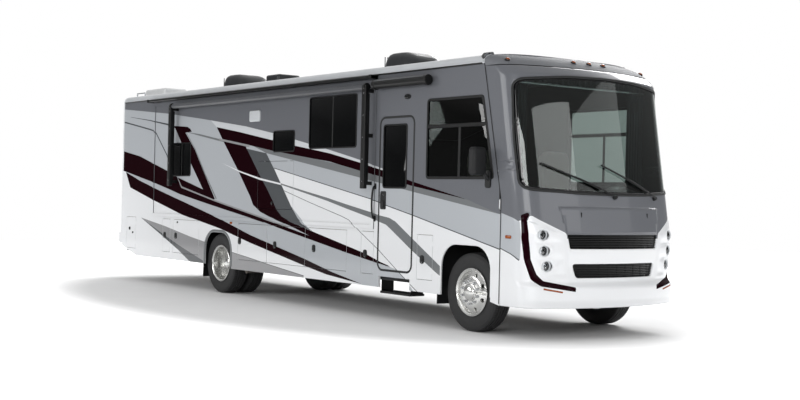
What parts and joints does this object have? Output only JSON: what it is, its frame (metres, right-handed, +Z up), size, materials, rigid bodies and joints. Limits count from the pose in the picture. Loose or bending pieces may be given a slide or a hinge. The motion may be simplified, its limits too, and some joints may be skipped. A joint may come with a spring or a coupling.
{
  "type": "motorhome",
  "caption": "Large coach-built motorhome on a truck chassis with a full-length slide-out room, steered front wheels, twin rear wheels, entry door and luggage bays.",
  "frame": {"origin": "on the ground below the middle of the whole vehicle", "axes": "+X forward, +Y to the driver's side, +Z up"},
  "size_m": [11.76, 3.16, 3.7803],
  "materials": {
    "body_paint": "two-stage gloss paint over fibreglass panels, silver with maroon and grey bands",
    "roof_skin": "white moulded roof skin",
    "tinted_glass": "dark tinted safety glass",
    "clear_glass": "lightly tinted laminated glass",
    "black_plastic": "moulded black plastic",
    "black_metal": "powder-coated black aluminium",
    "bay_steel": "painted sheet steel",
    "lamp_lens": "clear and coloured lamp lenses",
    "shroud_plastic": "dark moulded shroud",
    "vent_plastic": "white moulded plastic",
    "interior_trim": "grained dashboard plastic",
    "seat_leather": "stitched leather",
    "curtain_cloth": "pleated curtain cloth",
    "floor_board": "laminated floor",
    "chassis_steel": "black chassis paint",
    "cast_steel": "bare castings",
    "exhaust_steel": "aluminised pipe",
    "ladder_aluminium": "anodised tube",
    "wheel_aluminium": "polished forged aluminium",
    "tyre": "black rubber"
  },
  "bodies": {
    "coach": {"chassis_frame": "chassis_steel", "coach_floor": "floor_board", "side_walls": "body_paint", "rear_wall": "body_paint", "roof": "roof_skin", "front_cap": "body_paint", "windshield": "clear_glass", "side_windows": "tinted_glass", "skirts": "body_paint", "wheel_wells": "black_plastic", "grille": "black_plastic", "lamps": "lamp_lens", "wipers": "black_plastic", "mirrors": "black_plastic", "air_conditioners": "shroud_plastic", "roof_vents": "vent_plastic", "awnings": "black_metal", "dashboard": "interior_trim", "cab_seats": "seat_leather", "curtains": "curtain_cloth", "storage_bays": "bay_steel", "axles": "cast_steel", "engine_block": "cast_steel", "drive_shaft": "chassis_steel", "under_tanks": "black_plastic", "exhaust": "exhaust_steel", "hitch_receiver": "chassis_steel", "ladder": "ladder_aluminium", "rear_bumper": "body_paint"},
    "slide_out": {"slide_room": "body_paint", "slide_windows": "tinted_glass", "patio_awning": "black_metal"},
    "hatch": {"outside_hatch": "body_paint"},
    "left_knuckle": {"knuckle_left": "cast_steel"},
    "right_knuckle": {"knuckle_right": "cast_steel"},
    "steering_link": {"tie_rod": "chassis_steel"},
    "left_front": {"front_left_wheel": "wheel_aluminium", "front_left_tyre": "tyre"},
    "right_front": {"front_right_wheel": "wheel_aluminium", "front_right_tyre": "tyre"},
    "left_rear": {"rear_left_wheels": "wheel_aluminium", "rear_left_tyres": "tyre"},
    "right_rear": {"rear_right_wheels": "wheel_aluminium", "rear_right_tyres": "tyre"},
    "hand_wheel": {"steering_wheel": "black_plastic"},
    "door": {"entry_door": "body_paint", "entry_door_glass": "tinted_glass"},
    "lid": {"front_lid": "body_paint"},
    "step": {"entry_step": "black_metal"},
    "right_bay_1": {"right_bay_door_1": "body_paint"},
    "right_bay_2": {"right_bay_door_2": "body_paint"},
    "right_bay_3": {"right_bay_door_3": "body_paint"},
    "right_bay_4": {"right_bay_door_4": "body_paint"},
    "right_bay_5": {"right_bay_door_5": "body_paint"},
    "right_bay_6": {"right_bay_door_6": "body_paint"},
    "right_bay_7": {"right_bay_door_7": "body_paint"},
    "right_bay_8": {"right_bay_door_8": "body_paint"},
    "left_bay_1": {"left_bay_door_1": "body_paint"},
    "left_bay_2": {"left_bay_door_2": "body_paint"},
    "left_bay_3": {"left_bay_door_3": "body_paint"}
  },
  "joints": [
    {"name": "steer_left", "type": "hinge", "parent": "coach", "child": "left_knuckle", "pos_m": [4.48, 0.9, 0.445], "axis": [0, 0, 1], "range_deg": [-35, 35]},
    {"name": "steer_right", "type": "hinge", "parent": "coach", "child": "right_knuckle", "pos_m": [4.48, -0.9, 0.445], "axis": [0, 0, 1], "range_deg": [-35, 35]},
    {"name": "link_turn", "type": "hinge", "parent": "left_knuckle", "child": "steering_link", "pos_m": [4.27, 0.9, 0.31], "axis": [0, 0, 1], "range_deg": [-35, 35]},
    {"name": "hand_wheel_turn", "type": "hinge", "parent": "coach", "child": "hand_wheel", "pos_m": [5.045, 0.62, 1.65], "axis": [-0.7431, 0, 0.6691], "range_deg": [-630, 630]},
    {"name": "spin_front_left", "type": "hinge", "parent": "left_knuckle", "child": "left_front", "pos_m": [4.48, 1.08, 0.49], "axis": [0, 1, 0], "continuous": true},
    {"name": "spin_front_right", "type": "hinge", "parent": "right_knuckle", "child": "right_front", "pos_m": [4.48, -1.08, 0.49], "axis": [0, 1, 0], "continuous": true},
    {"name": "spin_rear_left", "type": "hinge", "parent": "coach", "child": "left_rear", "pos_m": [-1.92, 0.937, 0.49], "axis": [0, 1, 0], "continuous": true},
    {"name": "spin_rear_right", "type": "hinge", "parent": "coach", "child": "right_rear", "pos_m": [-1.92, -0.937, 0.49], "axis": [0, 1, 0], "continuous": true},
    {"name": "slide_out_move", "type": "slide", "parent": "coach", "child": "slide_out", "axis": [0, -1, 0], "range_m": [0, 0.6]},
    {"name": "hatch_swing", "type": "hinge", "parent": "slide_out", "child": "hatch", "pos_m": [-0.14, -1.286, 2.15], "axis": [-1, 0, 0], "range_deg": [0, 85]},
    {"name": "door_swing", "type": "hinge", "parent": "coach", "child": "door", "pos_m": [3.354, -1.285, 1.7], "axis": [0, 0, 1], "range_deg": [0, 110]},
    {"name": "lid_lift", "type": "hinge", "parent": "coach", "child": "lid", "pos_m": [5.76393, 0, 1.578], "axis": [0, -1, 0], "range_deg": [0, 60]},
    {"name": "step_slide", "type": "slide", "parent": "coach", "child": "step", "axis": [0, -1, 0], "range_m": [0, 0.25]},
    {"name": "right_bay_1_swing", "type": "hinge", "parent": "coach", "child": "right_bay_1", "pos_m": [-5.09, -1.285, 0.88], "axis": [0, 0, 1], "range_deg": [0, 90]},
    {"name": "right_bay_2_swing", "type": "hinge", "parent": "coach", "child": "right_bay_2", "pos_m": [-3.68, -1.285, 0.88], "axis": [0, 0, 1], "range_deg": [0, 90]},
    {"name": "right_bay_3_swing", "type": "hinge", "parent": "coach", "child": "right_bay_3", "pos_m": [-2.6, -1.285, 0.88], "axis": [0, 0, 1], "range_deg": [0, 90]},
    {"name": "right_bay_4_swing", "type": "hinge", "parent": "coach", "child": "right_bay_4", "pos_m": [-0.35, -1.285, 0.88], "axis": [0, 0, 1], "range_deg": [0, 90]},
    {"name": "right_bay_5_swing", "type": "hinge", "parent": "coach", "child": "right_bay_5", "pos_m": [0.754, -1.285, 0.88], "axis": [0, 0, 1], "range_deg": [0, 90]},
    {"name": "right_bay_6_swing", "type": "hinge", "parent": "coach", "child": "right_bay_6", "pos_m": [1.84, -1.285, 0.88], "axis": [0, 0, 1], "range_deg": [0, 90]},
    {"name": "right_bay_7_swing", "type": "hinge", "parent": "coach", "child": "right_bay_7", "pos_m": [2.49, -1.285, 0.88], "axis": [0, 0, 1], "range_deg": [0, 90]},
    {"name": "right_bay_8_swing", "type": "hinge", "parent": "coach", "child": "right_bay_8", "pos_m": [3.79, -1.285, 0.88], "axis": [0, 0, 1], "range_deg": [0, 90]},
    {"name": "left_bay_1_swing", "type": "hinge", "parent": "coach", "child": "left_bay_1", "pos_m": [-2.6, 1.285, 0.88], "axis": [0, 0, -1], "range_deg": [0, 90]},
    {"name": "left_bay_2_swing", "type": "hinge", "parent": "coach", "child": "left_bay_2", "pos_m": [-0.35, 1.285, 0.88], "axis": [0, 0, -1], "range_deg": [0, 90]},
    {"name": "left_bay_3_swing", "type": "hinge", "parent": "coach", "child": "left_bay_3", "pos_m": [1.84, 1.285, 0.88], "axis": [0, 0, -1], "range_deg": [0, 90]}
  ],
  "couplings": [
    {"joint": "steer_right", "follows": "steer_left", "ratio": 1},
    {"joint": "link_turn", "follows": "steer_left", "ratio": -1},
    {"joint": "hand_wheel_turn", "follows": "steer_left", "ratio": 18}
  ]
}
